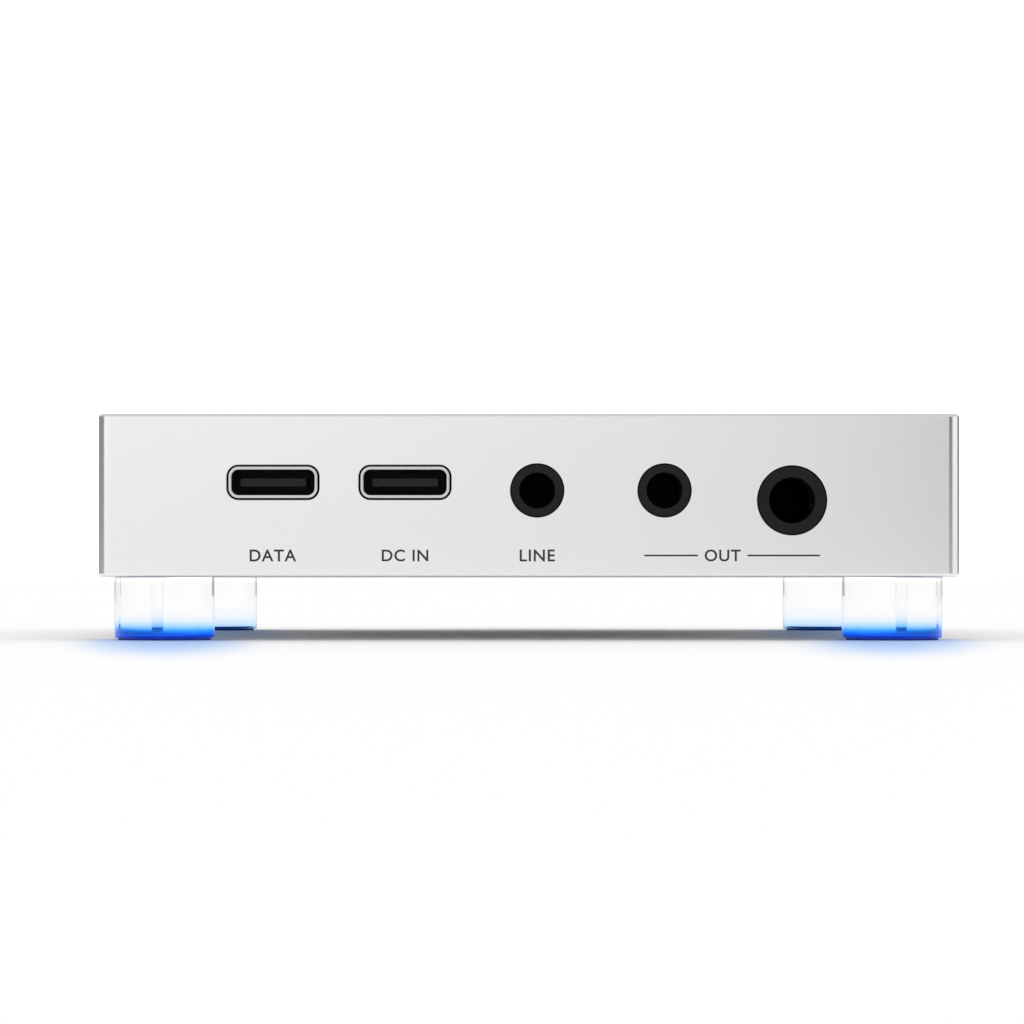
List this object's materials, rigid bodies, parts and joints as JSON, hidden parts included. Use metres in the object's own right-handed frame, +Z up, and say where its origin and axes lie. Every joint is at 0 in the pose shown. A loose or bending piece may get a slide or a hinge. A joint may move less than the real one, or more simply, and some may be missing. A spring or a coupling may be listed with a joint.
{
  "type": "desktop dac",
  "caption": "Small square desktop digital-to-analogue converter in an aluminium case on clear lit feet, with USB-C ports, line and headphone jacks and a volume knob.",
  "frame": {"origin": "on the surface that the pads stand on, at the centre of the bounding box, knob included", "axes": "+X to the right as seen facing the ports, +Y from the ports towards the volume knob, +Z up"},
  "size_m": [0.0866, 0.0964, 0.0228],
  "materials": {
    "case_aluminium": "bead-blasted, clear anodised",
    "plate_aluminium": "satin anodised",
    "screw_steel": "zinc plated",
    "light_guide": "polished clear acrylic",
    "foot_pad": "matte",
    "solder_mask": "semi-gloss",
    "chip_black": "matte moulded epoxy",
    "crystal_metal": "satin lid",
    "inductor_ferrite": "matte pressed powder",
    "shield_tin": "tinned, satin",
    "can_aluminium": "satin can",
    "led_lens": "diffuse lens",
    "port_steel": "satin stainless",
    "port_insulator": "moulded",
    "contact_gold": "gold flashed",
    "jack_plastic": "matte moulded",
    "encoder_plastic": "moulded",
    "encoder_metal": "nickel plated",
    "knob_aluminium": "turned, fine bead-blast, clear anodised"
  },
  "bodies": {
    "chassis": {"case_shell": "case_aluminium", "bottom_plate": "plate_aluminium", "plate_screws": "screw_steel", "pcb_screws": "screw_steel", "foot_front_left": "light_guide", "foot_front_right": "light_guide", "foot_rear_left": "light_guide", "foot_rear_right": "light_guide", "pad_front_left": "foot_pad", "pad_front_right": "foot_pad", "pad_rear_left": "foot_pad", "pad_rear_right": "foot_pad", "main_pcb": "solder_mask", "dac_chip": "chip_black", "bridge_chip": "chip_black", "amplifier_chips": "chip_black", "clock_crystals": "crystal_metal", "power_inductors": "inductor_ferrite", "power_shield_can": "shield_tin", "capacitors": "can_aluminium", "foot_leds": "led_lens", "data_port_shell": "port_steel", "power_port_shell": "port_steel", "data_port_tongue": "port_insulator", "power_port_tongue": "port_insulator", "data_port_contacts": "contact_gold", "power_port_contacts": "contact_gold", "line_out_contacts": "contact_gold", "phone_out_contacts": "contact_gold", "balanced_out_contacts": "contact_gold", "line_out_housing": "jack_plastic", "phone_out_housing": "jack_plastic", "balanced_out_housing": "jack_plastic", "encoder_housing": "encoder_plastic", "encoder_bushing": "encoder_metal", "encoder_washer": "encoder_metal", "encoder_nut": "encoder_metal", "encoder_pins": "encoder_metal", "switch_dome": "encoder_metal"},
    "push_switch": {"encoder_plunger": "encoder_plastic"},
    "volume_control": {"encoder_shaft": "encoder_metal", "volume_knob": "knob_aluminium", "knob_grub_screw": "screw_steel"}
  },
  "joints": [
    {"name": "volume_push", "type": "slide", "parent": "chassis", "child": "push_switch", "axis": [0, -1, 0], "range_m": [0, 0.0005], "stiffness_N_per_m": 2000, "springref_m": -0.0005},
    {"name": "volume_turn", "type": "hinge", "parent": "push_switch", "child": "volume_control", "pos_m": [0, 0.0384, 0.0146], "axis": [0, 1, 0], "continuous": true}
  ]
}
